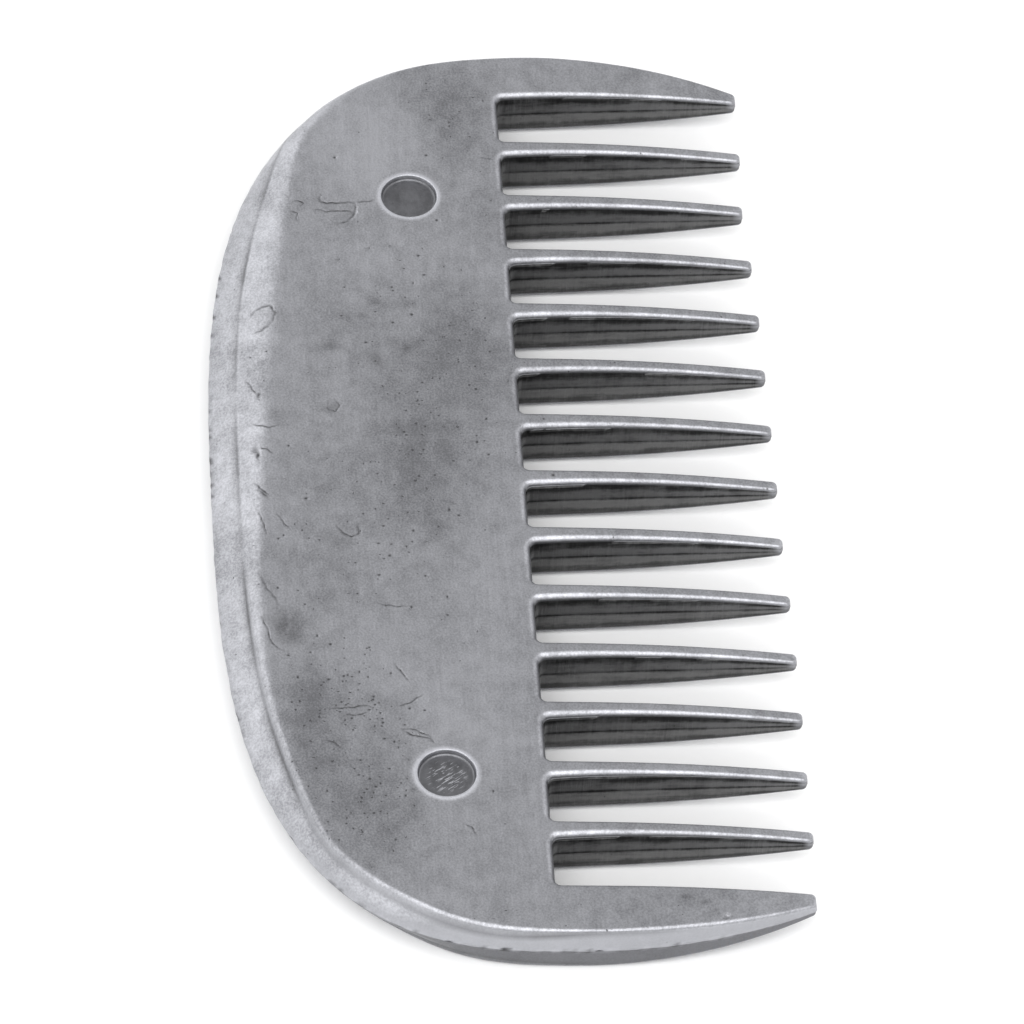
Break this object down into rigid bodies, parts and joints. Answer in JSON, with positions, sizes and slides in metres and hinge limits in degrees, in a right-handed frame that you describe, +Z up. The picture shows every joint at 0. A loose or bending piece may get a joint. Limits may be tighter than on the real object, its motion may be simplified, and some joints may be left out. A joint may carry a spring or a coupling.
{
  "type": "mane comb",
  "caption": "Flat one-piece cast aluminium mane comb: half-oval back with recessed pin marks and a row of tapering teeth for pulling through a horse's mane or tail.",
  "frame": {"origin": "middle of the bounding box's bottom face, with the comb lying flat on its plain side", "axes": "+X along the comb's length, +Y from the tooth tips towards the back, +Z up out of the face with the two pin recesses"},
  "size_m": [0.1, 0.0496, 0.005],
  "materials": {
    "cast_aluminium": "tumbled as-cast satin, darker and rougher between the teeth and in the pin recesses"
  },
  "bodies": {
    "root": {"comb_casting": "cast_aluminium"}
  },
  "joints": []
}
